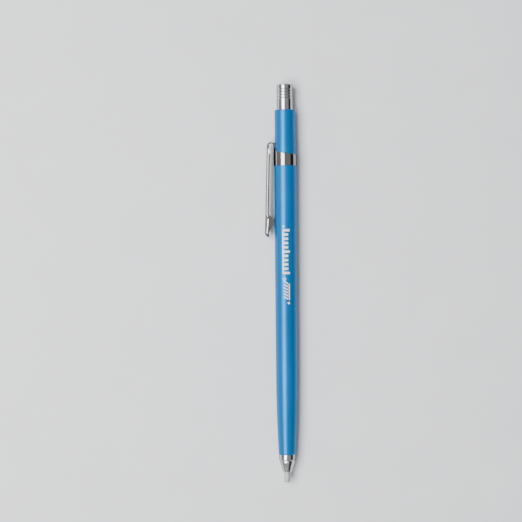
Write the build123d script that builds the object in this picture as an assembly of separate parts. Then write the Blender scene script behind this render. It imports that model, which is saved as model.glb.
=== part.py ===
"""Clutch marker for metal: a holder that grips a silver marking lead in four jaws.

Millimetres. The marker lies on a flat surface: the lead points along -Y, the push
button is at +Y, the pocket clip stands out to -X and +Z is up. The origin is under
the middle of the marker's box, on the surface that it lies on.

Every piece is first made about its own axis, which is Z there: a "station" is the
distance along that axis from the tip of the lead, the clip is at -X and -Y is the
side that faces up once the marker lies down.
"""
from build123d import *
import math
import os

# ---- lead -------------------------------------------------------------------
lead_diameter = 2.8
lead_length = 120.0
lead_exposed = 4.6            # lead that stands out of the jaws
lead_point_chamfer = 0.25

# ---- chuck: four jaws on a common root ---------------------------------------
jaw_count = 4
jaw_tip_diameter = 3.6
jaw_head_diameter = 6.5
jaw_cone_length = 4.3         # from the jaws' tip to the widest part of the head
jaw_land_length = 0.25        # short cylinder at the widest part
jaw_seat_angle = 18.0         # half angle of the cone that the collar pulls shut
jaw_shank_diameter = 4.2
jaw_finger_length = 22.4      # from the jaws' tip to the root that they flex at
jaw_slit_width = 0.6
jaw_first_slit = 23.0         # degrees from the upper side, away from the clip
jaw_grip_length = 6.0         # stretch of bore that holds the lead
grip_clearance = 0.02         # radial, between lead and closed jaws
lead_clearance = 0.2          # radial, between lead and every other bore
flex_gap = 0.02               # between a jaw's root and the chuck body

chuck_body_diameter = 5.0
chuck_neck_length = 2.0
chuck_body_length = 9.0
chuck_socket_depth = 5.0      # the feed tube screws in this far

# ---- nose collar -------------------------------------------------------------
collar_diameter = 7.2
collar_visible_length = 2.5
collar_mouth_gap = 0.75       # head of the jaws that shows in front of the collar
collar_seat_clearance = 0.05  # radial, between the closed jaws and the seat
collar_spigot_length = 7.6
collar_spigot_wall = 0.47
collar_edge = 0.25

# ---- plunger -----------------------------------------------------------------
plunger_travel = 3.0          # how far the button goes in
tube_wall = 0.4
tube_bush_clearance = 0.06    # radial running fit of the tube in its bush

spring_wire = 0.5
spring_coil_diameter = 5.8    # to the middle of the wire
spring_length = 18.0          # as fitted, with the button out
spring_turns = 9
spring_seat_thickness = 1.0
spring_collar_thickness = 2.0
spring_collar_diameter = 7.2
snap_ring_thickness = 0.6
snap_ring_diameter = 5.6
snap_ring_depth = 0.15        # groove that it sits in
snap_ring_gap = 1.2

# ---- barrels -----------------------------------------------------------------
nose_diameter = 7.45
nose_edge = 0.3
front_barrel_length = 127.7
nose_swell_length = 35.0       # rounded part of the nose, before the long taper
nose_swell_diameter = 9.4
front_barrel_end_diameter = 9.94
front_bore_wall = 0.555       # wall at the nose, round the collar's spigot
front_shoulder_depth = 32.6   # from the nose to the shoulder under the spring
main_bore_diameter = 7.8
front_barrel_edge = 0.12

rear_barrel_joint_diameter = 9.46
rear_barrel_end_diameter = 9.13
rear_barrel_length = 24.7
rear_barrel_taper_start = 6.0
rear_barrel_taper_end = 16.0
rear_barrel_edge = 0.35
guide_length = 7.0            # land that the button slides in
guide_lead_in = 0.3           # slope at the land's inner end
button_clearance = 0.06       # radial running fit of the button in that land

joining_bush_length = 20.0
joining_bush_web = 8.0        # stretch of the bush that guides the feed tube
joining_bush_wall = 0.7

# ---- push button -------------------------------------------------------------
button_diameter = 7.2
button_exposed = 11.3
skirt_run_out = 2.7           # left between the skirt and the bush with the button in
button_wall = 0.7
button_top_thickness = 4.0
button_edge = 0.45
groove_count = 4
groove_pitch = 1.27
groove_width = 0.4
groove_depth = 0.15
groove_first = 2.2            # from the end of the button to the first groove
insert_recess = 1.3           # from the skirt's edge to the threaded insert

# ---- pocket clip -------------------------------------------------------------
clip_sheet = 0.4
clip_fit = 0.01               # radial, between the band and the rear barrel
band_height = 6.2
band_slope = 1.4              # drop of the band's edge, from the clip across
leg_base_width = 7.0
leg_width = 4.2
leg_flare = 2.4               # height over which the leg narrows
leg_height = 8.9              # from the bottom of the band to the bow
arm_sheet = 0.45
arm_offset = 8.1              # outer face of the arm, from the marker's axis
arm_lean = 0.8                # how much further out it is at the foot
arm_depth = 1.45              # depth of the arm's folded sides
arm_corner = 0.5
arm_width = 4.2
foot_start = 30.3             # from the bow's centre, down to the foot
foot_length = 10.2
foot_kick = 0.3               # outward step of the face along the foot
foot_toe_start = 2.0          # where the sides reach the barrel, down the foot
foot_toe_length = 1.8
foot_clearance = 0.05         # between the foot and the barrel
foot_end_depth = 1.5
clip_seam = 0.02              # between the leg and the arm, where the bow starts
edge_tolerance = 0.01         # how near an edge is to a face that it counts as on

# ---- stations along the axis ---------------------------------------------------
jaw_tip = lead_exposed
jaw_head = jaw_tip + jaw_cone_length
jaw_seat_start = jaw_head + jaw_land_length
jaw_root = jaw_tip + jaw_finger_length
collar_mouth = jaw_seat_start + collar_mouth_gap
nose = collar_mouth + collar_visible_length
collar_end = nose + collar_spigot_length
spring_shoulder = nose + front_shoulder_depth
spring_start = spring_shoulder + spring_seat_thickness
spring_end = spring_start + spring_length
snap_ring_start = spring_end + spring_collar_thickness
chuck_end = jaw_root + chuck_body_length
tube_start = chuck_end - chuck_socket_depth
barrel_joint = nose + front_barrel_length
rear_end = barrel_joint + rear_barrel_length
button_end = rear_end + button_exposed
bush_start = barrel_joint - joining_bush_length / 2
bush_end = bush_start + joining_bush_length
button_start = bush_end + plunger_travel + skirt_run_out
insert_start = button_start + insert_recess
tube_end = button_end - button_top_thickness
bow_centre = barrel_joint + leg_height

# ---- radii ---------------------------------------------------------------------
lead_radius = lead_diameter / 2
lead_bore = lead_radius + lead_clearance
grip_bore = lead_radius + grip_clearance
jaw_shank_radius = jaw_shank_diameter / 2
jaw_head_radius = jaw_head_diameter / 2
seat_slope = math.tan(math.radians(jaw_seat_angle))
tube_radius = lead_bore + tube_wall
spring_radius = spring_coil_diameter / 2
front_bore = nose_diameter / 2 - front_bore_wall
main_bore = main_bore_diameter / 2
collar_bore = front_bore - collar_spigot_wall
guide_bore = button_diameter / 2 + button_clearance
insert_radius = button_diameter / 2 - button_wall
rear_joint_radius = rear_barrel_joint_diameter / 2
band_bore = rear_joint_radius + clip_fit
band_radius = band_bore + clip_sheet

# ---- clip in its own plane -------------------------------------------------------
arm_inner = arm_offset - arm_sheet
bow_radius = (arm_offset - band_bore) / 2
bow_axis = (arm_offset + band_bore) / 2
foot_top = bow_centre - foot_start
foot_tip = foot_top - foot_length
foot_face = arm_offset + arm_lean
toe_top = foot_top - foot_toe_start
toe_bottom = toe_top - foot_toe_length

# ---- the marker as it lies ---------------------------------------------------------
centre_shift = (foot_face + foot_kick - band_radius) / 2
lying = Pos(centre_shift, -button_end / 2, band_radius) * Rot(-90, 0, 0)


def turned(outline):
    """A piece turned about the axis, from the (radius, station) corners of one half."""
    corners = [(radius, 0, station) for radius, station in outline]
    return revolve(make_face(Polyline(*corners, close=True)), Axis.Z)


def sleeve(outer, inner, start, end):
    """A plain ring or tube between two stations."""
    return turned([(inner, start), (outer, start), (outer, end), (inner, end)])


def side_plate(outline, width):
    """A plate of the given width, from (distance out to the clip's side, station) corners."""
    corners = [(-out, 0, station) for out, station in outline]
    return extrude(make_face(Polyline(*corners, close=True)), width / 2, dir=(0, 1, 0), both=True)


def lead():
    start = lead_radius - lead_point_chamfer
    rear = lead_length
    return turned([(0, 0), (start, 0), (lead_radius, lead_point_chamfer), (lead_radius, rear), (0, rear)])


def jaw(number):
    """One quarter of the chuck's split nose, down to the root where it flexes."""
    seat_end = jaw_seat_start + (jaw_head_radius - jaw_shank_radius) / seat_slope
    root = jaw_root - flex_gap
    grip_end = jaw_tip + jaw_grip_length
    ring = turned([
        (grip_bore, jaw_tip), (jaw_tip_diameter / 2, jaw_tip),
        (jaw_head_radius, jaw_head), (jaw_head_radius, jaw_seat_start),
        (jaw_shank_radius, seat_end), (jaw_shank_radius, root),
        (lead_bore, root), (lead_bore, grip_end + lead_clearance), (grip_bore, grip_end),
    ])
    sector = Pos(jaw_slit_width / 2, jaw_slit_width / 2, 0) * Box(
        jaw_head_diameter, jaw_head_diameter, jaw_root, align=(Align.MIN, Align.MIN, Align.MIN))
    turn = jaw_first_slit - 90 + number * 360 / jaw_count
    return ring & Rot(0, 0, turn) * sector


def chuck_body():
    """The root of the jaws, with a socket that the feed tube screws into."""
    neck_end = jaw_root + chuck_neck_length
    outer = chuck_body_diameter / 2
    return turned([
        (lead_bore, jaw_root), (jaw_shank_radius, jaw_root), (jaw_shank_radius, neck_end),
        (outer, neck_end + outer - jaw_shank_radius), (outer, chuck_end),
        (tube_radius, chuck_end), (tube_radius, tube_start), (lead_bore, tube_start),
    ])


def nose_collar():
    """Collar with the conical seat that closes the jaws, screwed into the barrel."""
    outer = collar_diameter / 2
    mouth = jaw_head_radius - collar_mouth_gap * seat_slope + collar_seat_clearance
    seat_end = collar_mouth + (mouth - collar_bore) / seat_slope
    return turned([
        (mouth, collar_mouth), (outer - collar_edge, collar_mouth),
        (outer, collar_mouth + collar_edge), (outer, nose),
        (front_bore, nose), (front_bore, collar_end),
        (collar_bore, collar_end), (collar_bore, seat_end),
    ])


def front_barrel():
    """Painted barrel: a rounded nose that swells into a long, slight taper."""
    rim = nose_diameter / 2
    rear = front_barrel_end_diameter / 2
    nose_start = (rim, 0, nose + nose_edge)
    taper_start = (nose_swell_diameter / 2, 0, nose + nose_swell_length)
    taper_end = (rear, 0, barrel_joint - front_barrel_edge)
    taper = Line(taper_start, taper_end)
    swell = TangentArc(taper_start, nose_start, tangent=Vector(0, 0, 0) - taper % 0)
    inside = Polyline(
        taper_end, (rear - front_barrel_edge, 0, barrel_joint), (main_bore, 0, barrel_joint),
        (main_bore, 0, spring_shoulder), (front_bore, 0, spring_shoulder),
        (front_bore, 0, nose), (rim - nose_edge / 2, 0, nose), nose_start)
    return revolve(make_face([swell, taper, inside]), Axis.Z)


def rear_barrel():
    """Painted rear barrel: a spigot inside the clip's band, and the button's guide."""
    end = rear_barrel_end_diameter / 2
    guide_start = rear_end - guide_length
    body = turned([
        (main_bore, barrel_joint), (rear_joint_radius, barrel_joint),
        (rear_joint_radius, barrel_joint + rear_barrel_taper_start),
        (end, barrel_joint + rear_barrel_taper_end), (end, rear_end),
        (guide_bore, rear_end), (guide_bore, guide_start), (main_bore, guide_start - guide_lead_in),
    ])
    rim = body.edges().filter_by(GeomType.CIRCLE).group_by(Axis.Z)[-1].sort_by(SortBy.RADIUS)[-1]
    return fillet(rim, rear_barrel_edge)


def joining_bush():
    """Threaded sleeve that holds both barrels and guides the feed tube."""
    web_start = barrel_joint - joining_bush_web / 2
    web_end = web_start + joining_bush_web
    wide = main_bore - joining_bush_wall
    narrow = tube_radius + tube_bush_clearance
    return turned([
        (wide, bush_start), (main_bore, bush_start), (main_bore, bush_end), (wide, bush_end),
        (wide, web_end), (narrow, web_end), (narrow, web_start), (wide, web_start),
    ])


def feed_tube():
    """Thin tube that joins the chuck to the button and holds the spare length of lead."""
    groove = tube_radius - snap_ring_depth
    groove_end = snap_ring_start + snap_ring_thickness
    return turned([
        (lead_bore, tube_start), (tube_radius, tube_start), (tube_radius, snap_ring_start),
        (groove, snap_ring_start), (groove, groove_end), (tube_radius, groove_end),
        (tube_radius, tube_end), (lead_bore, tube_end),
    ])


def spring_seat():
    clear = tube_radius + lead_clearance
    return sleeve(main_bore, clear, spring_shoulder, spring_start)


def return_spring():
    """Compression spring between the seat in the barrel and the collar on the tube."""
    height = spring_length - spring_wire
    pitch = height / spring_turns
    line = Pos(0, 0, spring_start + spring_wire / 2) * Helix(pitch, height, spring_radius)
    section = Plane(line @ 0, z_dir=line % 0) * Circle(spring_wire / 2)
    return sweep(section, line)


def spring_collar():
    return sleeve(spring_collar_diameter / 2, tube_radius, spring_end, snap_ring_start)


def snap_ring():
    """Split ring in the tube's groove, which the spring pushes the collar against."""
    outer = snap_ring_diameter / 2
    ring = sleeve(outer, tube_radius - snap_ring_depth, snap_ring_start, snap_ring_start + snap_ring_thickness)
    opening = Pos(0, outer, snap_ring_start) * Box(
        snap_ring_gap, 2 * outer, 2 * snap_ring_thickness, align=(Align.CENTER, Align.CENTER, Align.CENTER))
    return ring - opening


def push_button():
    """Blind cap with ring grooves for the thumb, and a skirt that slides in the barrel."""
    outer = button_diameter / 2
    cap = turned([
        (0, tube_end), (insert_radius, tube_end), (insert_radius, button_start),
        (outer, button_start), (outer, button_end), (0, button_end),
    ])
    rim = cap.edges().filter_by(GeomType.CIRCLE).group_by(Axis.Z)[-1]
    cap = fillet(rim, button_edge)
    for number in range(groove_count):
        middle = button_end - groove_first - number * groove_pitch
        cap -= turned([
            (outer - groove_depth, middle), (outer + groove_depth, middle - groove_width),
            (outer + groove_depth, middle + groove_width),
        ])
    return cap


def button_insert():
    """Threaded sleeve inside the button, which takes the end of the feed tube."""
    return sleeve(insert_radius, tube_radius, insert_start, tube_end)


def clip_band():
    """Band round the rear barrel, with the leg that rises from it to the bow."""
    top = barrel_joint + band_height
    ring = sleeve(band_radius, band_bore, barrel_joint, top)
    lower_side = side_plate([
        (band_radius, top), (-band_radius, top - band_slope),
        (-band_radius, top + band_slope), (band_radius, top + band_slope),
    ], 3 * band_radius)
    ring -= lower_side
    flare_end = top + leg_flare - band_slope / 2
    base = leg_base_width / 2
    side = leg_width / 2
    leg_outline = make_face(Polyline(
        (0, -base, barrel_joint), (0, base, barrel_joint), (0, base, top - band_slope / 2),
        (0, side, flare_end), (0, side, bow_centre), (0, -side, bow_centre),
        (0, -side, flare_end), (0, -base, top - band_slope / 2), close=True))
    stencil = extrude(leg_outline, 2 * band_radius, dir=(-1, 0, 0))
    shell = sleeve(band_radius, band_bore, barrel_joint, flare_end)
    return ring + (shell & stencil) + leg_top(flare_end)


def leg_top(start):
    """The leg's upper end, which goes from the band's curve to the flat of the bow."""
    side = leg_width / 2
    end = bow_centre - clip_seam
    outer_edge = math.sqrt(band_radius ** 2 - side ** 2)
    inner_edge = math.sqrt(band_bore ** 2 - side ** 2)
    curved = make_face([
        ThreePointArc((-outer_edge, -side, start), (-band_radius, 0, start), (-outer_edge, side, start)),
        Line((-outer_edge, side, start), (-inner_edge, side, start)),
        ThreePointArc((-inner_edge, side, start), (-band_bore, 0, start), (-inner_edge, -side, start)),
        Line((-inner_edge, -side, start), (-outer_edge, -side, start)),
    ])
    flat = make_face(Polyline(
        (-band_radius, -side, end), (-band_radius, side, end),
        (-band_bore, side, end), (-band_bore, -side, end), close=True))
    return loft([curved, flat])


def clip_arm():
    """The bow and the long arm: a channel with folded sides, and a foot on the barrel."""
    return bow() + (arm_block() - arm_hollow())


def bow():
    """Half turn of sheet that carries the arm, from the leg's top to the arm's face."""
    half_turn = Pos(-bow_axis, 0, bow_centre) * Rot(90, 0, 0) * Cylinder(bow_radius, arm_width)
    inner = Pos(-bow_axis, 0, bow_centre) * Rot(90, 0, 0) * Cylinder(bow_radius - clip_sheet, arm_width)
    upper = Pos(-bow_axis, 0, bow_centre) * Box(
        2 * arm_offset, 2 * arm_width, 2 * arm_offset, align=(Align.CENTER, Align.CENTER, Align.MIN))
    return (half_turn - inner) & upper


def arm_block():
    """The arm's outer shape, before it is hollowed: straight arm, foot, toe and tip."""
    toe = contact_distance()
    block = side_plate([
        (arm_offset, bow_centre), (arm_offset - arm_depth, bow_centre),
        (foot_face - arm_depth, foot_top), (toe, toe_top), (toe, toe_bottom),
        (foot_face + foot_kick - foot_end_depth, foot_tip + foot_kick),
        (foot_face, foot_tip),
        (foot_face + foot_kick, foot_tip + foot_kick), (foot_face, foot_top),
    ], arm_width)
    outer_edges = block.edges().filter_by(is_on_face)
    return fillet(outer_edges, arm_corner)


def is_on_face(edge):
    """True for the long edges where the arm's face meets its folded sides."""
    middle = edge @ 0.5
    along_side = abs(middle.Y) > arm_width / 2 - edge_tolerance
    on_face = -middle.X > arm_offset - edge_tolerance and edge.length > arm_depth
    return along_side and on_face


def arm_hollow():
    """The space inside the channel: open towards the barrel and closed at the tip."""
    inner = arm_offset - arm_sheet
    foot_inner = foot_face - arm_sheet
    tip_inner = foot_tip + arm_sheet + foot_kick
    return side_plate([
        (inner, bow_centre + arm_sheet), (0, bow_centre + arm_sheet), (0, tip_inner),
        (foot_inner + foot_kick, tip_inner), (foot_inner, foot_top), (inner, bow_centre),
    ], arm_width - 2 * arm_sheet)


def taper_radius(station):
    """Radius of the front barrel's skin, on its long taper."""
    start = nose + nose_swell_length
    along = (station - start) / (barrel_joint - start)
    return (nose_swell_diameter + (front_barrel_end_diameter - nose_swell_diameter) * along) / 2


def contact_distance():
    """Distance from the axis at which the foot's sides just clear the barrel."""
    skin = taper_radius(toe_top) + foot_clearance
    inner_side = arm_width / 2 - arm_sheet
    return math.sqrt(skin ** 2 - inner_side ** 2)


def nodes():
    """Every piece by name, standing on the lead's tip."""
    pieces = {
        "lead": lead(),
        "chuck_body": chuck_body(),
        "nose_collar": nose_collar(),
        "front_barrel": front_barrel(),
        "spring_seat": spring_seat(),
        "return_spring": return_spring(),
        "spring_collar": spring_collar(),
        "snap_ring": snap_ring(),
        "feed_tube": feed_tube(),
        "joining_bush": joining_bush(),
        "rear_barrel": rear_barrel(),
        "clip_band": clip_band(),
        "clip_arm": clip_arm(),
        "push_button": push_button(),
        "button_insert": button_insert(),
    }
    for number in range(jaw_count):
        pieces[f"jaw_{number + 1}"] = jaw(number)
    return pieces


os.makedirs("parts", exist_ok=True)
for name, piece in nodes().items():
    export_step(lying * piece, f"parts/{name}.step")
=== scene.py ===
"""Looks of the clutch marker: detailed meshes, procedural materials, light and camera."""
import math

import bmesh
import bpy
from mathutils import Matrix, Vector


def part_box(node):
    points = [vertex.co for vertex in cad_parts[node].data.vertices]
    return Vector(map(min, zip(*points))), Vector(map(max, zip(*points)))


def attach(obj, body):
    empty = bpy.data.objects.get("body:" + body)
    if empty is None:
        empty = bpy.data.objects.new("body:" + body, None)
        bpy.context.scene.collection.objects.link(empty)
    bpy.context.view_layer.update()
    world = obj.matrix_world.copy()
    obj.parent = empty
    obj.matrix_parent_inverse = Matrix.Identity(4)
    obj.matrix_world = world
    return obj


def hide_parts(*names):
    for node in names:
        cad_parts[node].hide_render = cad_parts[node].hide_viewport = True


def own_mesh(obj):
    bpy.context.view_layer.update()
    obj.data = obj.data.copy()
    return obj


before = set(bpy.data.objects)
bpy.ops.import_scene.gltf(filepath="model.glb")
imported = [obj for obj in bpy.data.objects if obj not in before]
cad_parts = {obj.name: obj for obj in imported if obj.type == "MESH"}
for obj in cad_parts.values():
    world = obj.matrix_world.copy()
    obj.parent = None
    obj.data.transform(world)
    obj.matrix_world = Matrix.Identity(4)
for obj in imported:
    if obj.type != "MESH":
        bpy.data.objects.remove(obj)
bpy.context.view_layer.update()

# ---- sizes that the boxes don't give, in millimetres ---------------------------------
MM = 0.001                    # in metres

NOSE_RADIUS = 3.725
NOSE_LIP = 0.35               # rounding of the nose
SWELL_LENGTH = 35.0
SWELL_RADIUS = 4.7
FRONT_BORE = 3.17             # radius of the bore at the nose
MAIN_BORE = 3.9               # and behind the shoulder
SHOULDER = 32.6               # from the nose to the step in the bore
TAPER_START = 6.0             # rear barrel's taper, from the joint of the barrels
TAPER_END = 16.0
REAR_RADIUS = 4.565
REAR_RIM = 0.36               # rounding of the rear barrel's rim
GUIDE_RADIUS = 3.66           # bore that guides the button
GUIDE_LENGTH = 7.0
GUIDE_LEAD_IN = 0.3

BUTTON_WALL = 0.7
BUTTON_END_WALL = 4.0
BUTTON_CROWN = 0.5            # rounding of the button's end
GROOVES = 4
FIRST_GROOVE = 2.2            # from the button's end
GROOVE_PITCH = 1.27
GROOVE_HALF = 0.24
GROOVE_DEPTH = 0.15
GROOVE_ROUNDING = 0.07

COLLAR_MOUTH_RADIUS = 3.05
COLLAR_BORE = 2.7
COLLAR_SEAT = 1.1             # depth of the conical seat
COLLAR_CHAMFER = 0.25
COLLAR_CHAMFER_LENGTH = 0.3

POINT_RADIUS_SHARE = 0.8      # flat of the lead's point, as a share of its radius
POINT_LENGTH = 0.35
POINT_WEAR = 0.05
POINT_WEAR_LENGTH = 0.8

JAWS = 4
JAW_TIP_RADIUS = 1.8
JAW_HEAD_RADIUS = 3.25
JAW_CONE = 4.3                # length of the outer cone
JAW_LAND = 0.25
JAW_SEAT_SLOPE = math.tan(math.radians(18))
JAW_SHANK = 2.1
JAW_GRIP = 6.0                # length of the bore that grips the lead
JAW_SLIT = 0.6
FIRST_SLIT = 67.0             # degrees from +X, on the side away from the clip
GRIP_BORE = 1.42
LEAD_BORE = 1.6

WIRE = 0.25                   # radius of the spring's wire
OPEN_TURNS = 8
CLOSED_RISE = 2.1             # rise of a closed end turn, in wire radii

SHEET = 0.4                   # thickness of the clip's sheet
CLIP_EDGE = 0.07              # rounding of the sheet's edges
JAW_EDGE = 0.05
BAND_HEIGHT = 6.2
BAND_SLOPE = 1.4              # fall of the band's upper edge, away from the clip
LEG_BASE = 3.5                # half width where the leg leaves the band
LEG_FLARE = 3.0               # height over which it narrows
CLIP_SIDE = 2.1               # half width of the leg, the bow and the arm
TIP_SIDE = 1.3                # and of the curled tip
BOW_RADIUS = 1.68
ARM_OUT = 8.1                 # face of the arm, from the axis, at the bow
FOOT_OUT = 8.9                # the same where the foot starts
FOOT_STEP = 0.3               # the face's outward step along the foot
FOOT_LENGTH = 10.2
TIP_CURL = 1.9
TOE_GAP = 0.15                # taken off the toe's side, so that it clears the barrel

# section of the clip's sheet: angles in radians, and lengths along the sheet
FACE_TILT = 0.3               # slope of the face where it meets the bend
ARM_BEND = 0.8                # length of the bend between face and side
ARM_FOLD = math.radians(93)   # slope of the arm's sides
ARM_SIDE = 0.6                # length of the sides
SHOULDER_BEND = 0.75
SHOULDER_FOLD = 0.62 * ARM_FOLD
FOOT_BEND = 1.95
FOOT_FOLD = math.radians(101)
SIDE_DISH = 0.16              # how much a side's slope changes across it

INK_LIFT = 0.02
INK_STEP = 0.5                # longest step along a printed mark
MARK_MIDDLE = 0.1             # middle of the printed marks, across the top from the axis
MARK_HALF = 1.65
SCALE_START = 92.2            # stations from the tip of the lead
SCALE_BARS = 11
SCALE_PITCH = 1.88
SCALE_BAR = 1.0
SCALE_SPINE = 0.45
LONG_BAR_EVERY = 5
SHORT_BAR_CUT = 0.7
STROKES_START = 81.4
STROKES = 6
STROKE_PITCH = 1.35
STROKE_WIDTH = 0.62
STROKE_LEAN = -0.55

MACHINED = 0.1                # rounding of a plain machined edge
TURN_SEGMENTS = 144
LEAD_SEGMENTS = 96
SHARP = math.radians(50)      # an edge sharper than this is rounded
TOUCH = 0.000001              # in metres

# ---- places taken from the frame -----------------------------------------------------
lead_low, lead_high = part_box("lead")
button_low, button_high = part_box("push_button")
front_low, front_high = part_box("front_barrel")
rear_low, rear_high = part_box("rear_barrel")
collar_low, collar_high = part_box("nose_collar")
band_low, band_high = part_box("clip_band")
arm_low, arm_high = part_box("clip_arm")
jaw_low, jaw_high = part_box("jaw_1")
spring_low, spring_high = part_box("return_spring")
axis_x = (lead_low.x + lead_high.x) / 2
axis_z = (lead_low.z + lead_high.z) / 2
tip_y = lead_low.y


def station(y):
    """Distance in millimetres along the axis, from the tip of the lead."""
    return (y - tip_y) / MM


def radius(low, high):
    """Radius in millimetres of a turned piece, from its box."""
    return (high.z - low.z) / 2 / MM


nose = station(front_low.y)
joint = station(front_high.y)
rear_end = station(rear_high.y)
button_start = station(button_low.y)
button_end = station(button_high.y)
collar_mouth = station(collar_low.y)
jaw_tip = station(jaw_low.y)
jaw_root = station(jaw_high.y)
front_end_radius = radius(front_low, front_high)
bow_centre = station(band_high.y)
band_radius = radius(band_low, band_high)
arm_end = station(arm_low.y)
band_top = joint + BAND_HEIGHT
sheet_bore = band_radius - SHEET
toe_out = (axis_x - arm_high.x) / MM


# ---- mesh helpers --------------------------------------------------------------------
def object_from(name, build, materials, body, nodes=(), edge=0, seam=None):
    """A smooth mesh piece that rides on a body and stands for its CAD nodes.

    edge rounds the sharp edges, in millimetres, apart from those at the seam: the Y where
    the sheet goes on in another piece.
    """
    mesh = bpy.data.meshes.new(name)
    bm = bmesh.new()
    build(bm)
    bmesh.ops.recalc_face_normals(bm, faces=bm.faces)
    if edge:
        mark_sharp(bm, seam)
    bm.to_mesh(mesh)
    bm.free()
    mesh.shade_smooth()
    piece = bpy.data.objects.new(name, mesh)
    bpy.context.scene.collection.objects.link(piece)
    for material in materials:
        mesh.materials.append(material)
    if edge:
        bevel = piece.modifiers.new("edge", "BEVEL")
        bevel.width = edge * MM
        bevel.segments = 2
        bevel.limit_method = "WEIGHT"
    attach(piece, body)
    if nodes:
        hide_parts(*nodes)
    return piece


def mark_sharp(bm, seam):
    """Weights the sharp edges for the bevel, and keeps those at the seam crisp."""
    weights = bm.edges.layers.float.new("bevel_weight_edge")
    for edge in bm.edges:
        if edge.calc_face_angle() < SHARP:
            continue
        at_seam = seam is not None and all(abs(vert.co.y - seam) < TOUCH for vert in edge.verts)
        if at_seam:
            edge.smooth = False
        else:
            edge[weights] = 1.0


def thicken(bm, inside):
    """Closes a sheet; inside gives the place under each vertex of its outer surface."""
    outer = list(bm.faces)
    rim = [tuple(edge.verts) for edge in bm.edges if edge.is_boundary]
    below = {vert: bm.verts.new(point) for vert, point in inside.items()}
    for face in outer:
        bm.faces.new([below[vert] for vert in reversed(face.verts)])
    for first, second in rim:
        bm.faces.new((first, second, below[second], below[first]))


def rounded(corners, closed=True):
    """Outline with each (radius, station, rounding) corner turned into a small curve."""
    steps = 5
    support = 1.3  # distance of the point that holds the flat on each side, in roundings
    outline = []
    for index, (out, along, rounding) in enumerate(corners):
        here = Vector((out, along))
        is_end = not closed and index in (0, len(corners) - 1)
        if rounding == 0 or is_end:
            outline.append(here)
            continue
        before = (Vector(corners[index - 1][:2]) - here).normalized()
        after = (Vector(corners[(index + 1) % len(corners)][:2]) - here).normalized()
        outline.append(here + before * rounding * support)
        for step in range(steps + 1):
            share = step / steps
            outline.append(here + before * rounding * (1 - share) ** 2 + after * rounding * share ** 2)
        outline.append(here + after * rounding * support)
    return outline


def join_rings(bm, first, second):
    """Faces between two closed rings of vertices; a ring of one vertex is a pole."""
    count = max(len(first), len(second))
    for step in range(count):
        following = (step + 1) % count
        corners = [first[step % len(first)], first[following % len(first)],
                   second[following % len(second)], second[step % len(second)]]
        unique = list(dict.fromkeys(corners))
        if len(unique) > 2:
            bm.faces.new(unique)


def turn(bm, outline, closed=True, segments=TURN_SEGMENTS, wear=None):
    """Turns an outline of (radius, station) points about the marker's axis."""
    rings = []
    for out, along in outline:
        if out == 0:
            rings.append([bm.verts.new((axis_x, tip_y + along * MM, axis_z))])
            continue
        ring = []
        for segment in range(segments):
            angle = 2 * math.pi * segment / segments
            reach = (out - (wear(out, along, angle) if wear else 0)) * MM
            ring.append(bm.verts.new((axis_x + reach * math.cos(angle), tip_y + along * MM,
                                      axis_z + reach * math.sin(angle))))
        rings.append(ring)
    for first, second in zip(rings, rings[1:]):
        join_rings(bm, first, second)
    if closed:
        join_rings(bm, rings[-1], rings[0])


def place(out, along, across):
    """World point from the distance out to the clip's side, the station and the height over the axis."""
    return (axis_x - out * MM, tip_y + along * MM, axis_z + across * MM)


def grid(bm, rows):
    """Joins rows of points into quads."""
    made = [[bm.verts.new(point) for point in row] for row in rows]
    for first, second in zip(made, made[1:]):
        for column in range(len(first) - 1):
            bm.faces.new((first[column], first[column + 1], second[column + 1], second[column]))
    return made


def clamp(value):
    """The value, kept between 0 and 1."""
    return min(max(value, 0), 1)


def ease(share):
    """Smooth step from 0 to 1."""
    return share * share * (3 - 2 * share)


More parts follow.
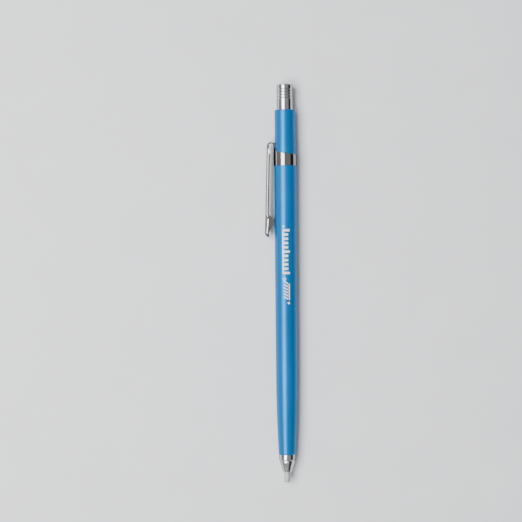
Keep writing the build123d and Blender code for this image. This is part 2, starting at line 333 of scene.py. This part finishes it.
# ---- material helpers ----------------------------------------------------------------
class Shader:
    """A Principled material with the few procedural nodes that these finishes share."""

    first_colour, second_colour, mixed_colour = 6, 7, 2  # sockets of a mix node for colours

    def __init__(self, name, **sockets):
        self.material = bpy.data.materials.new(name)
        self.material.use_nodes = True
        self.tree = self.material.node_tree
        self.surface = self.tree.nodes["Principled BSDF"]
        self.coordinates = self.tree.nodes.new("ShaderNodeTexCoord").outputs["Object"]
        for socket, value in sockets.items():
            self.surface.inputs[socket.replace("_", " ")].default_value = value

    def node(self, kind, **values):
        made = self.tree.nodes.new(kind)
        for key, value in values.items():
            setattr(made, key, value)
        return made

    def join(self, output, target):
        self.tree.links.new(output, target)

    def stretched(self, scale):
        """Object coordinates scaled by a different amount on each axis."""
        mapping = self.node("ShaderNodeMapping")
        mapping.inputs["Scale"].default_value = scale
        self.join(self.coordinates, mapping.inputs["Vector"])
        return mapping.outputs["Vector"]

    def noise(self, scale, detail=3.0, roughness=0.5):
        """Noise, with its scale in cycles per metre on each axis."""
        made = self.node("ShaderNodeTexNoise")
        made.inputs["Scale"].default_value = 1.0
        made.inputs["Detail"].default_value = detail
        made.inputs["Roughness"].default_value = roughness
        self.join(self.stretched(scale), made.inputs["Vector"])
        return made.outputs["Fac"]

    def spread(self, value, low, high, start=0.3, end=0.7):
        """Maps a value from start..end to low..high."""
        made = self.node("ShaderNodeMapRange")
        made.inputs["From Min"].default_value = start
        made.inputs["From Max"].default_value = end
        made.inputs["To Min"].default_value = low
        made.inputs["To Max"].default_value = high
        self.join(value, made.inputs["Value"])
        return made.outputs["Result"]

    def blend(self, factor, first, second):
        """Mixes two colours."""
        made = self.node("ShaderNodeMix", data_type="RGBA")
        self.join(factor, made.inputs["Factor"])
        for colour, socket in ((first, self.first_colour), (second, self.second_colour)):
            if isinstance(colour, tuple):
                made.inputs[socket].default_value = (*colour, 1)
            else:
                self.join(colour, made.inputs[socket])
        return made.outputs[self.mixed_colour]

    def colour(self, output):
        self.join(output, self.surface.inputs["Base Color"])

    def roughness(self, output):
        self.join(output, self.surface.inputs["Roughness"])

    def bump(self, pattern, height):
        """Adds a bump of the given height in millimetres, on top of the bumps already there."""
        made = self.node("ShaderNodeBump")
        made.inputs["Strength"].default_value = 1.0
        made.inputs["Distance"].default_value = height * MM
        self.join(pattern, made.inputs["Height"])
        normal = self.surface.inputs["Normal"]
        if normal.links:
            self.join(normal.links[0].from_socket, made.inputs["Normal"])
        self.join(made.outputs["Normal"], normal)


# ---- materials -----------------------------------------------------------------------
def blue_enamel():
    """Glossy blue lacquer with a fine metal flake, slight orange peel and hairline rubs."""
    deep = (0.007, 0.137, 0.375)
    bright = (0.01, 0.157, 0.415)
    flake_blue = (0.03, 0.27, 0.6)
    rubbed_blue = (0.07, 0.32, 0.6)
    shader = Shader("blue_enamel", Metallic=0.35, IOR=1.5, Specular_Tint=(0.1, 0.45, 0.75, 1))
    cloud = shader.noise((90, 30, 90), detail=2)
    flake = shader.noise((9000, 9000, 9000), detail=1)
    rubs = shader.noise((2600, 60, 2600), detail=4, roughness=0.7)
    orange_peel = shader.noise((700, 500, 700), detail=2)
    base = shader.blend(shader.spread(cloud, 0, 1), deep, bright)
    base = shader.blend(shader.spread(flake, 0, 0.3, start=0.55, end=0.8), base, flake_blue)
    base = shader.blend(shader.spread(rubs, 0, 0.15, start=0.62, end=0.8), base, rubbed_blue)
    shader.colour(base)
    shader.roughness(shader.spread(rubs, 0.27, 0.36))
    shader.bump(orange_peel, 0.004)
    return shader.material


def polished_chrome(name, tint, grain):
    """Bright chrome: a faint grain in the given direction, hairline scratches and a thin greasy film."""
    filmed = tuple(part * 0.84 for part in tint)
    scratched = tuple(part * 0.66 for part in tint)
    shader = Shader(name, Metallic=1.0, Specular_Tint=(0.1, 0.11, 0.15, 1))
    film = shader.noise((260, 190, 260), detail=4)
    lines = shader.noise(grain, detail=4, roughness=0.65)
    scratches = shader.noise((3500, 240, 2600), detail=5, roughness=0.75)
    base = shader.blend(shader.spread(film, 0, 1), filmed, tint)
    shader.colour(shader.blend(shader.spread(scratches, 0, 0.5, start=0.62, end=0.72), base, scratched))
    shader.roughness(shader.spread(film, 0.05, 0.17))
    shader.bump(lines, 0.0012)
    shader.bump(scratches, 0.0018)
    return shader.material


def satin_nickel():
    """Turned and plated steel of the chuck, a little duller than the chrome."""
    dull = (0.6, 0.6, 0.58)
    bright = (0.74, 0.74, 0.72)
    shader = Shader("satin_nickel", Metallic=1.0)
    turned_rings = shader.noise((60, 9000, 60), detail=3)
    film = shader.noise((500, 500, 500), detail=3)
    shader.colour(shader.blend(shader.spread(film, 0, 1), dull, bright))
    shader.roughness(shader.spread(film, 0.2, 0.34))
    shader.bump(turned_rings, 0.002)
    return shader.material


def silver_lead():
    """Dense silver marking lead: pressed pigment with a soft metallic sheen and drawn streaks."""
    dark = (0.36, 0.365, 0.36)
    silver = (0.55, 0.55, 0.54)
    pore = (0.26, 0.27, 0.28)
    shader = Shader("silver_lead", Metallic=0.4)
    streaks = shader.noise((5200, 260, 5200), detail=4, roughness=0.6)
    pores = shader.noise((4200, 4200, 4200), detail=3)
    base = shader.blend(shader.spread(streaks, 0, 1), dark, silver)
    base = shader.blend(shader.spread(pores, 0, 0.6, start=0.62, end=0.74), base, pore)
    shader.colour(base)
    shader.roughness(shader.spread(pores, 0.5, 0.7))
    shader.bump(streaks, 0.006)
    shader.bump(pores, 0.008)
    return shader.material


def brass(name, grain):
    """Plain turned or drawn brass, slightly tarnished."""
    tarnished = (0.5, 0.31, 0.1)
    bright = (0.76, 0.54, 0.22)
    shader = Shader(name, Metallic=1.0)
    film = shader.noise((300, 120, 300), detail=4)
    lines = shader.noise(grain, detail=3)
    shader.colour(shader.blend(shader.spread(film, 0, 1), tarnished, bright))
    shader.roughness(shader.spread(film, 0.24, 0.42))
    shader.bump(lines, 0.002)
    return shader.material


def steel(name, tint):
    """Bare steel, with a mottled surface. Near black, it is also the painted shade on the walls of the
    jaws' slits.
    """
    darker = tuple(part * 0.6 for part in tint)
    shader = Shader(name, Metallic=1.0)
    film = shader.noise((900, 900, 900), detail=4)
    shader.colour(shader.blend(shader.spread(film, 0, 1), darker, tint))
    shader.roughness(shader.spread(film, 0.25, 0.42))
    shader.bump(film, 0.002)
    return shader.material


def white_ink():
    """Printed ink: a flat white that lets a little of the paint through where it is worn."""
    white = (0.96, 0.97, 1.0)
    worn = (0.4, 0.6, 0.75)
    shader = Shader("white_ink", Coat_Weight=0.6, Coat_Roughness=0.2)
    wear = shader.noise((3000, 2200, 3000), detail=4, roughness=0.7)
    shader.colour(shader.blend(shader.spread(wear, 0, 0.5, start=0.6, end=0.75), white, worn))
    shader.roughness(shader.spread(wear, 0.35, 0.55))
    shader.bump(wear, 0.003)
    return shader.material


def pale_floor():
    """Plain pale floor with a barely visible mottling."""
    darker = (0.8, 0.81, 0.83)
    lighter = (0.84, 0.85, 0.87)
    shader = Shader("pale_floor")
    mottle = shader.noise((40, 40, 40), detail=4)
    shader.colour(shader.blend(shader.spread(mottle, 0, 1), darker, lighter))
    shader.roughness(shader.spread(mottle, 0.6, 0.75))
    return shader.material


ENAMEL = blue_enamel()
CHROME = polished_chrome("chrome_plate", tint=(0.6, 0.605, 0.61), grain=(80, 7000, 80))
# the clip's chrome is a darker copy of the same plate: painted shade, so that the band, leg, bow and arm
# reflect darker than the button and collar
CLIP_CHROME_PAINTED_SHADE = polished_chrome("clip_chrome", tint=(0.38, 0.368, 0.35), grain=(5200, 90, 5200))
NICKEL = satin_nickel()
LEAD = silver_lead()
INK = white_ink()
# near-black steel for the walls of the jaws' slits: painted shade, standing in for the shadow inside the
# slits
SLIT_SHADE = steel("slit_painted_shade", (0.09, 0.09, 0.085))
SPRING_STEEL = steel("spring_steel", (0.45, 0.45, 0.47))


# ---- turned pieces -------------------------------------------------------------------
def front_barrel(bm):
    """Long barrel: rounded nose, swell, slight taper to the joint, and a stepped bore."""
    slope = (front_end_radius - SWELL_RADIUS) / (joint - nose - SWELL_LENGTH)
    bend = (SWELL_RADIUS - slope * SWELL_LENGTH - NOSE_RADIUS) / SWELL_LENGTH ** 2
    swell_steps = 24
    joint_edge = 0.16
    swell = []
    for step in range(2, swell_steps + 1):
        back = SWELL_LENGTH * (1 - step / swell_steps)
        swell.append((SWELL_RADIUS - slope * back - bend * back ** 2, nose + SWELL_LENGTH - back, 0))
    corners = [(FRONT_BORE, nose, MACHINED), (NOSE_RADIUS, nose, NOSE_LIP), *swell,
               (front_end_radius, joint, joint_edge), (MAIN_BORE, joint, MACHINED),
               (MAIN_BORE, nose + SHOULDER, 0), (FRONT_BORE, nose + SHOULDER, 0)]
    turn(bm, rounded(corners))


def rear_barrel(bm):
    """Rear barrel: spigot in the band, taper, straight stretch and a rounded rim."""
    spigot = radius(rear_low, rear_high)
    taper_start_bend = 1.2
    taper_end_bend = 2.5
    rim_bore_edge = 0.12
    guide_end = rear_end - GUIDE_LENGTH
    corners = [(MAIN_BORE, joint, MACHINED), (spigot, joint, MACHINED),
               (spigot, joint + TAPER_START, taper_start_bend),
               (REAR_RADIUS, joint + TAPER_END, taper_end_bend), (REAR_RADIUS, rear_end, REAR_RIM),
               (GUIDE_RADIUS, rear_end, rim_bore_edge), (GUIDE_RADIUS, guide_end, MACHINED),
               (MAIN_BORE, guide_end - GUIDE_LEAD_IN, MACHINED)]
    turn(bm, rounded(corners))


def push_button(bm):
    """Chromed cap with ring grooves near its end, hollow below for the insert."""
    outer = radius(button_low, button_high)
    inner = outer - BUTTON_WALL
    skirt_edge = 0.15
    hollow_end = button_end - BUTTON_END_WALL
    corners = [(0, hollow_end, 0), (inner, hollow_end, MACHINED), (inner, button_start, MACHINED),
               (outer, button_start, skirt_edge)]
    for number in reversed(range(GROOVES)):
        middle = button_end - FIRST_GROOVE - number * GROOVE_PITCH
        corners += [(outer, middle - GROOVE_HALF, GROOVE_ROUNDING),
                    (outer - GROOVE_DEPTH, middle, GROOVE_ROUNDING),
                    (outer, middle + GROOVE_HALF, GROOVE_ROUNDING)]
    corners += [(outer, button_end, BUTTON_CROWN), (0, button_end, 0)]
    turn(bm, rounded(corners, closed=False), closed=False)


def nose_collar(bm):
    """Bright collar with a chamfered mouth, conical seat inside and threaded spigot."""
    outer = radius(collar_low, collar_high)
    mouth_edge = 0.08
    chamfer_edge = 0.12
    nose_edge = 0.05
    spigot_end = station(collar_high.y)
    corners = [(COLLAR_MOUTH_RADIUS, collar_mouth, mouth_edge),
               (outer - COLLAR_CHAMFER, collar_mouth, MACHINED),
               (outer, collar_mouth + COLLAR_CHAMFER_LENGTH, chamfer_edge), (outer, nose, nose_edge),
               (FRONT_BORE, nose, 0), (FRONT_BORE, spigot_end, MACHINED),
               (COLLAR_BORE, spigot_end, MACHINED), (COLLAR_BORE, collar_mouth + COLLAR_SEAT, MACHINED)]
    turn(bm, rounded(corners))


def lead(bm):
    """Silver lead, its point worn slightly uneven by use."""
    out = radius(lead_low, lead_high)
    length = station(lead_high.y)
    edge = 0.2
    straight_start = 2

    def wear(reach, along, angle):
        """Depth worn off the point, most at the tip and on one side."""
        near_tip = max(0, 1 - along / POINT_WEAR_LENGTH)
        return POINT_WEAR * near_tip * (1 + math.sin(3 * angle + 1)) * reach / out

    corners = [(0, 0, 0), (out * POINT_RADIUS_SHARE, 0, edge), (out, POINT_LENGTH, edge),
               (out, straight_start, 0), (out, length, edge), (0, length, 0)]
    turn(bm, rounded(corners, closed=False), closed=False, segments=LEAD_SEGMENTS, wear=wear)


# ---- chuck ---------------------------------------------------------------------------
def jaw(number):
    """Builder of one quarter of the chuck's nose: cone, land, seat and long finger."""
    start = math.radians(FIRST_SLIT - 360 / JAWS * number)
    head = jaw_tip + JAW_CONE
    seat = head + JAW_LAND
    seat_end = seat + (JAW_HEAD_RADIUS - JAW_SHANK) / JAW_SEAT_SLOPE
    grip_end = jaw_tip + JAW_GRIP
    mouth_edge = 0.06
    tip_edge = 0.12
    seat_edge = 0.08
    shank_bend = 0.5
    corners = [(GRIP_BORE, jaw_tip, mouth_edge), (JAW_TIP_RADIUS, jaw_tip, tip_edge),
               (JAW_HEAD_RADIUS, head, MACHINED), (JAW_HEAD_RADIUS, seat, seat_edge),
               (JAW_SHANK, seat_end, shank_bend), (JAW_SHANK, jaw_root, 0), (LEAD_BORE, jaw_root, 0),
               (LEAD_BORE, grip_end + LEAD_BORE - GRIP_BORE, 0), (GRIP_BORE, grip_end, 0)]

    def build(bm):
        columns = 14
        rings = []
        for out, along in rounded(corners):
            margin = math.asin(JAW_SLIT / 2 / out)
            first, last = start + margin, start + 2 * math.pi / JAWS - margin
            ring = []
            for column in range(columns):
                angle = first + (last - first) * column / (columns - 1)
                ring.append(bm.verts.new(place(-out * math.cos(angle), along, out * math.sin(angle))))
            rings.append(ring)
        for first_ring, second_ring in zip(rings, rings[1:] + rings[:1]):
            for column in range(columns - 1):
                bm.faces.new((first_ring[column], first_ring[column + 1],
                              second_ring[column + 1], second_ring[column]))
        # the walls of the slits take the second material, near-black steel: painted shade for the shadow
        # inside the slits
        for side in (0, -1):
            wall = bm.faces.new([ring[side] for ring in rings])
            wall.material_index = 1  # the darker walls of the slits

    return build


# ---- clip ----------------------------------------------------------------------------
def leg_half_width(along):
    """Half width of the clip's leg, which flares out to the band."""
    up = clamp((along - band_top) / LEG_FLARE)
    return CLIP_SIDE + (LEG_BASE - CLIP_SIDE) * (1 - up) ** 3


def clip_band(bm):
    """The band, with a sloping upper edge and the leg that rises from it."""
    leg_columns = 17
    ring_columns = 81
    band_rows = 7
    leg_rows = 16
    inside = {}

    def sheet_vertex(angle, along):
        """Vertex on the sheet's outside; angle is measured from the clip's side."""
        outer, inner = (place(out * math.cos(angle), along, out * math.sin(angle))
                        for out in (band_radius, sheet_bore))
        vertex = bm.verts.new(outer)
        inside[vertex] = inner
        return vertex

    def upper_edge(angle):
        return band_top - BAND_SLOPE * (1 - math.cos(angle)) / 2

    shares = [2 * step / (leg_columns - 1) - 1 for step in range(leg_columns)]
    leg_angles = [math.asin(LEG_BASE * share / sheet_bore) for share in shares]
    gap = 2 * math.pi - 2 * leg_angles[-1]
    ring_angles = [leg_angles[-1] + gap * step / ring_columns for step in range(1, ring_columns)]
    columns = []
    for angle in leg_angles + ring_angles:
        rise = (upper_edge(angle) - joint) / band_rows
        columns.append([sheet_vertex(angle, joint + rise * step) for step in range(band_rows + 1)])
    for first, second in zip(columns, columns[1:] + columns[:1]):
        for low in range(band_rows):
            bm.faces.new((first[low], second[low], second[low + 1], first[low + 1]))
    lower = [column[-1] for column in columns[:leg_columns]]
    for row in range(1, leg_rows + 1):
        upper = []
        for share, angle in zip(shares, leg_angles):
            along = upper_edge(angle) + (bow_centre - upper_edge(angle)) * row / leg_rows
            upper.append(sheet_vertex(math.asin(leg_half_width(along) * share / sheet_bore), along))
        for step in range(leg_columns - 1):
            bm.faces.new((lower[step], lower[step + 1], upper[step + 1], upper[step]))
        lower = upper
    thicken(bm, inside)


def mix(first, second, share):
    """Tuple of values part of the way from one tuple to another."""
    return tuple(a + (b - a) * share for a, b in zip(first, second))


def between(stops, share, eased=False):
    """Section part of the way along a stretch, from the stops on each side."""
    for (start, first), (end, second) in zip(stops, stops[1:]):
        if share <= end:
            part = (share - start) / (end - start)
            return mix(first, second, ease(part) if eased else part)
    return stops[-1][1]


def channel(reach, tilt, bend, fold, side):
    """Half section of folded sheet, as (across, inward, slope) from its middle to its free edge.

    reach is the half width over all; bend and side are lengths along the sheet. The slope
    grows evenly to tilt along the face and to fold along the bend; the side is dished. The
    face takes the length that is left.
    """
    steps = 7
    dish = SIDE_DISH * min(side, 1)

    def slopes(first, last):
        """Slope in the middle of each step of a stretch."""
        return [first + (last - first) * (step + 0.5) / steps for step in range(steps)]

    def width(length, first, last):
        return sum(math.cos(slope) for slope in slopes(first, last)) * length / steps

    folded = [(bend, tilt, fold + dish), (side, fold + dish, fold - dish)]
    face = (reach - sum(width(*stretch) for stretch in folded)) / width(1, 0, tilt)
    points = [(0.0, 0.0, 0.0)]
    across = inward = 0.0
    for length, first, last in [(face, 0, tilt), *folded]:
        for step, slope in enumerate(slopes(first, last), 1):
            across += math.cos(slope) * length / steps
            inward += math.sin(slope) * length / steps
            points.append((across, inward, first + (last - first) * step / steps))
    return points


def clip_arm(bm):
    """The bow and the arm: sheet folded to a channel, with a toe and a curled tip."""
    foot_top = arm_end + FOOT_LENGTH
    foot_straight = FOOT_LENGTH - TIP_CURL
    bow_middle = ARM_OUT - BOW_RADIUS
    curl_middle = FOOT_OUT + FOOT_STEP - TIP_CURL
    toe_side = FOOT_OUT - toe_out - TOE_GAP - FOOT_BEND
    wrap = math.asin(CLIP_SIDE / sheet_bore)
    wrapped = wrap * sheet_bore
    # sections, as channel() takes them: reach, tilt, bend, fold, side. The leg follows the round
    # barrel, so its section curves the other way.
    leg = (CLIP_SIDE, -0.6 * wrap, 0.3 * wrapped, -0.95 * wrap, 0.1 * wrapped)
    crest = (CLIP_SIDE, 0.0, 0.6, 0.0, 0.15)
    shoulder = (CLIP_SIDE, FACE_TILT, SHOULDER_BEND, SHOULDER_FOLD, 0.15)
    arm = (CLIP_SIDE, FACE_TILT, ARM_BEND, ARM_FOLD, ARM_SIDE)
    foot = (CLIP_SIDE, 0.31, 1.25, ARM_FOLD, ARM_SIDE)
    toe = (CLIP_SIDE, 0.33, FOOT_BEND, FOOT_FOLD, toe_side)
    curl = (CLIP_SIDE, FACE_TILT, 1.5, FOOT_FOLD, 0.3)
    tip = (TIP_SIDE, 0.25, 1.4, 1.5, 0.2)
    # where along each stretch a section stands, from 0 to 1
    bow_stops = [(0.0, leg), (0.12, leg), (0.42, crest), (1.0, shoulder)]
    arm_stops = [(0.0, shoulder), (0.14, arm), (1.0, arm)]
    foot_stops = [(0.0, arm), (0.06, foot), (0.25, toe), (0.47, toe), (1.0, curl)]
    outer_rows = []
    inner_rows = []

    def add(out, along, normal, section):
        """One row across the sheet; normal is the outward direction, in radians from out to along."""
        half = channel(*section)
        full = [(-across, inward, -slope) for across, inward, slope in reversed(half[1:])] + half
        for rows, depth in ((outer_rows, 0), (inner_rows, SHEET)):
            row = []
            for across, inward, slope in full:
                deep = inward + depth * math.cos(slope)
                row.append(place(out - deep * math.cos(normal), along - deep * math.sin(normal),
                                 across - depth * math.sin(slope)))
            rows.append(row)

    bow_steps = 48
    for step in range(bow_steps + 1):
        share = step / bow_steps
        normal = math.pi * (1 - share)
        add(bow_middle + BOW_RADIUS * math.cos(normal), bow_centre + BOW_RADIUS * math.sin(normal),
            normal, between(bow_stops, share, eased=True))
    arm_steps = 24
    for step in range(1, arm_steps + 1):
        share = step / arm_steps
        add(ARM_OUT + (FOOT_OUT - ARM_OUT) * share, bow_centre + (foot_top - bow_centre) * share,
            0, between(arm_stops, share, eased=True))
    foot_steps = 40
    for step in range(1, foot_steps + 1):
        share = step / foot_steps
        add(FOOT_OUT + FOOT_STEP * share, foot_top - foot_straight * share, 0, between(foot_stops, share))
    curl_steps = 14
    for step in range(1, curl_steps + 1):
        share = step / curl_steps
        normal = -math.pi / 2 * share
        add(curl_middle + TIP_CURL * math.cos(normal), arm_end + TIP_CURL * (1 + math.sin(normal)),
            normal, mix(curl, tip, share ** 2))
    inside = {}
    for vertices, inner_row in zip(grid(bm, outer_rows), inner_rows):
        inside.update(zip(vertices, inner_row))
    thicken(bm, inside)


# ---- return spring -------------------------------------------------------------------
def return_spring(bm):
    """Compression spring: open turns between closed ends that lie flat."""
    coil = radius(spring_low, spring_high) - WIRE
    start = station(spring_low.y) + WIRE
    rise = station(spring_high.y) - WIRE - start
    closed_rise = CLOSED_RISE * WIRE
    open_rise = rise - 2 * closed_rise
    turn_steps = 40
    wire_steps = 10
    rings = []
    for step in range((OPEN_TURNS + 2) * turn_steps + 1):
        turned = step / turn_steps
        lower = clamp(turned)
        opened = clamp((turned - 1) / OPEN_TURNS)
        upper = clamp(turned - 1 - OPEN_TURNS)
        middle = start + (lower + upper) * closed_rise + opened * open_rise
        angle = 2 * math.pi * turned
        ring = []
        for point in range(wire_steps):
            around = 2 * math.pi * point / wire_steps
            out = coil + WIRE * math.cos(around)
            along = middle + WIRE * math.sin(around)
            ring.append(bm.verts.new(place(out * math.cos(angle), along, out * math.sin(angle))))
        rings.append(ring)
    for first, second in zip(rings, rings[1:]):
        join_rings(bm, first, second)
    bm.faces.new(rings[0])
    bm.faces.new(rings[-1])


# ---- printed marks -------------------------------------------------------------------
def on_barrel(along, across, lift, lean=0.0):
    """Point over the front barrel's long taper; across is measured round the top from the axis."""
    taper_start = nose + SWELL_LENGTH
    taper = (front_end_radius - SWELL_RADIUS) / (joint - taper_start)
    reach = SWELL_RADIUS + taper * (along - taper_start) + lift
    angle = across / reach
    return place(-reach * math.sin(angle), along + lean * across, reach * math.cos(angle))


def patch(bm, inside, low, high, left, right, lean=0.0):
    """Inked patch between two stations and two distances across the top; lean slants it."""
    columns = 8
    rows = max(2, round((high - low) / INK_STEP))
    flat = [[(low + (high - low) * row / rows, left + (right - left) * column / columns)
             for column in range(columns + 1)] for row in range(rows + 1)]
    upper, lower = ([[on_barrel(along, across, lift, lean) for along, across in row] for row in flat]
                    for lift in (INK_LIFT, -INK_LIFT))
    for vertices, points in zip(grid(bm, upper), lower):
        inside.update(zip(vertices, points))


def ring_mark(bm, inside, middle, across, outer, inner):
    """Small inked ring, round a station and a distance across the top."""
    steps = 28
    rings = []
    for size in (outer, inner):
        ring = []
        for step in range(steps):
            turned = 2 * math.pi * step / steps
            spot = (middle + size * math.sin(turned), across + size * math.cos(turned))
            vertex = bm.verts.new(on_barrel(*spot, INK_LIFT))
            inside[vertex] = on_barrel(*spot, -INK_LIFT)
            ring.append(vertex)
        rings.append(ring)
    join_rings(bm, *rings)


def printed_marks(bm):
    """Plain white marks: a scale of long and short bars, two rings, slanted strokes, a line and a dot."""
    inside = {}
    left = MARK_MIDDLE - MARK_HALF
    right = MARK_MIDDLE + MARK_HALF
    last_bar_end = SCALE_START + (SCALE_BARS - 1) * SCALE_PITCH + SCALE_BAR
    for number in range(SCALE_BARS):
        low = SCALE_START + number * SCALE_PITCH
        cut = 0 if number % LONG_BAR_EVERY == 0 else SHORT_BAR_CUT
        patch(bm, inside, low, low + SCALE_BAR, left, right - cut)
    patch(bm, inside, SCALE_START, last_bar_end, left, left + SCALE_SPINE)
    ring_mark(bm, inside, middle=SCALE_START - 2.2, across=MARK_MIDDLE - 0.8, outer=0.7, inner=0.36)
    ring_mark(bm, inside, middle=last_bar_end + 1.18, across=MARK_MIDDLE - 1.1, outer=0.5, inner=0.24)
    for number in range(STROKES):
        low = STROKES_START + number * STROKE_PITCH
        patch(bm, inside, low, low + STROKE_WIDTH, left=MARK_MIDDLE - 1.1, right=MARK_MIDDLE + 0.8,
              lean=STROKE_LEAN)
    side = MARK_MIDDLE + 1.5
    patch(bm, inside, low=STROKES_START - 0.6, high=STROKES_START + 6.6, left=side - 0.45, right=side)
    patch(bm, inside, low=STROKES_START - 2.4, high=STROKES_START - 1.5, left=side - 0.9, right=side)
    thicken(bm, inside)


# ---- pieces --------------------------------------------------------------------------
clip_seam = tip_y + bow_centre * MM
object_from("front_barrel_shell", front_barrel, [ENAMEL], "barrel", ["front_barrel"])
object_from("rear_barrel_shell", rear_barrel, [ENAMEL], "barrel", ["rear_barrel"])
object_from("button_cap", push_button, [CHROME], "plunger", ["push_button"])
object_from("collar_ring", nose_collar, [CHROME], "barrel", ["nose_collar"])
object_from("marking_lead", lead, [LEAD], "lead", ["lead"])
object_from("band_and_leg", clip_band, [CLIP_CHROME_PAINTED_SHADE], "barrel", ["clip_band"],
            edge=CLIP_EDGE, seam=clip_seam)
object_from("bow_and_arm", clip_arm, [CLIP_CHROME_PAINTED_SHADE], "clip_arm", ["clip_arm"],
            edge=CLIP_EDGE, seam=clip_seam)
spring = object_from("coil_spring", return_spring, [SPRING_STEEL], "barrel",
                     ["return_spring"])
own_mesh(spring)
object_from("printed_scale", printed_marks, [INK], "barrel")
for number in range(1, JAWS + 1):
    object_from(f"jaw_quarter_{number}", jaw(number), [NICKEL, SLIT_SHADE], f"jaw_{number}",
                [f"jaw_{number}"], edge=JAW_EDGE)

# ---- CAD nodes that keep their shape -------------------------------------------------
finishes = {
    "chuck_body": NICKEL,
    "feed_tube": brass("drawn_brass", (4000, 60, 4000)),
    "joining_bush": brass("turned_brass", (60, 5000, 60)),
    "spring_seat": steel("bright_steel", (0.6, 0.6, 0.61)),
}
finishes["button_insert"] = finishes["joining_bush"]
finishes["spring_collar"] = finishes["joining_bush"]
finishes["snap_ring"] = SPRING_STEEL
for node, material in finishes.items():
    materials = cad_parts[node].data.materials
    materials.clear()
    materials.append(material)


# ---- stage, light and camera ---------------------------------------------------------
def floor(half):
    """Large flat sheet under the marker."""
    mesh = bpy.data.meshes.new("floor")
    bm = bmesh.new()
    grid(bm, [[(-half, -half, 0), (half, -half, 0)], [(-half, half, 0), (half, half, 0)]])
    bm.to_mesh(mesh)
    bm.free()
    mesh.materials.append(pale_floor())
    sheet = bpy.data.objects.new("floor", mesh)
    bpy.context.scene.collection.objects.link(sheet)


def softbox(name, position, size, power):
    """Rectangular area light aimed at the marker."""
    lamp = bpy.data.lights.new(name, "AREA")
    lamp.shape = "RECTANGLE"
    lamp.size, lamp.size_y = size
    lamp.energy = power
    holder = bpy.data.objects.new(name, lamp)
    holder.location = position
    away = Vector(position).normalized()
    side = Vector((0, 1, 0)).cross(away).normalized()
    holder.rotation_euler = Matrix((side, away.cross(side), away)).transposed().to_euler()
    bpy.context.scene.collection.objects.link(holder)


def studio_world(lean, dark, light):
    """Soft surround: light overhead, leaning to the key side, and dark towards the horizon."""
    dark_until = 0.22
    light_from = 0.5
    made = bpy.data.worlds.new("studio")
    made.use_nodes = True
    nodes, links = made.node_tree.nodes, made.node_tree.links
    direction = nodes.new("ShaderNodeTexCoord").outputs["Generated"]
    towards = nodes.new("ShaderNodeVectorMath")
    towards.operation = "DOT_PRODUCT"
    towards.inputs[1].default_value = lean
    links.new(direction, towards.inputs[0])
    height = nodes.new("ShaderNodeMapRange")
    height.interpolation_type = "SMOOTHSTEP"
    height.inputs["From Min"].default_value = dark_until
    height.inputs["From Max"].default_value = light_from
    links.new(towards.outputs["Value"], height.inputs["Value"])
    tone = nodes.new("ShaderNodeMix")
    tone.data_type = "RGBA"
    tone.inputs[Shader.first_colour].default_value = (*dark, 1)
    tone.inputs[Shader.second_colour].default_value = (*light, 1)
    links.new(height.outputs["Result"], tone.inputs["Factor"])
    links.new(tone.outputs[Shader.mixed_colour], nodes["Background"].inputs["Color"])
    bpy.context.scene.world = made


def camera():
    """Straight down on the marker, which stands a little right of and below the middle."""
    distance = 0.62
    frame_width = 0.2313
    to_left = 0.011
    to_rear = 0.01
    roll = -0.4
    lens = bpy.data.cameras.new("camera")
    lens.sensor_width = 36
    lens.lens = lens.sensor_width * distance / frame_width
    holder = bpy.data.objects.new("camera", lens)
    middle_y = (lead_low.y + button_high.y) / 2
    holder.location = (axis_x - to_left, middle_y + to_rear, axis_z + distance)
    holder.rotation_euler = (0, 0, math.radians(roll))
    bpy.context.scene.collection.objects.link(holder)
    bpy.context.scene.camera = holder


floor(half=1.5)
softbox("key_softbox", position=(-0.35, 0, 0.77), size=(0.46, 0.8), power=13.9)
studio_world(lean=(-0.26, 0, 0.966), dark=(0.03, 0.035, 0.045), light=(0.42, 0.43, 0.45))
camera()
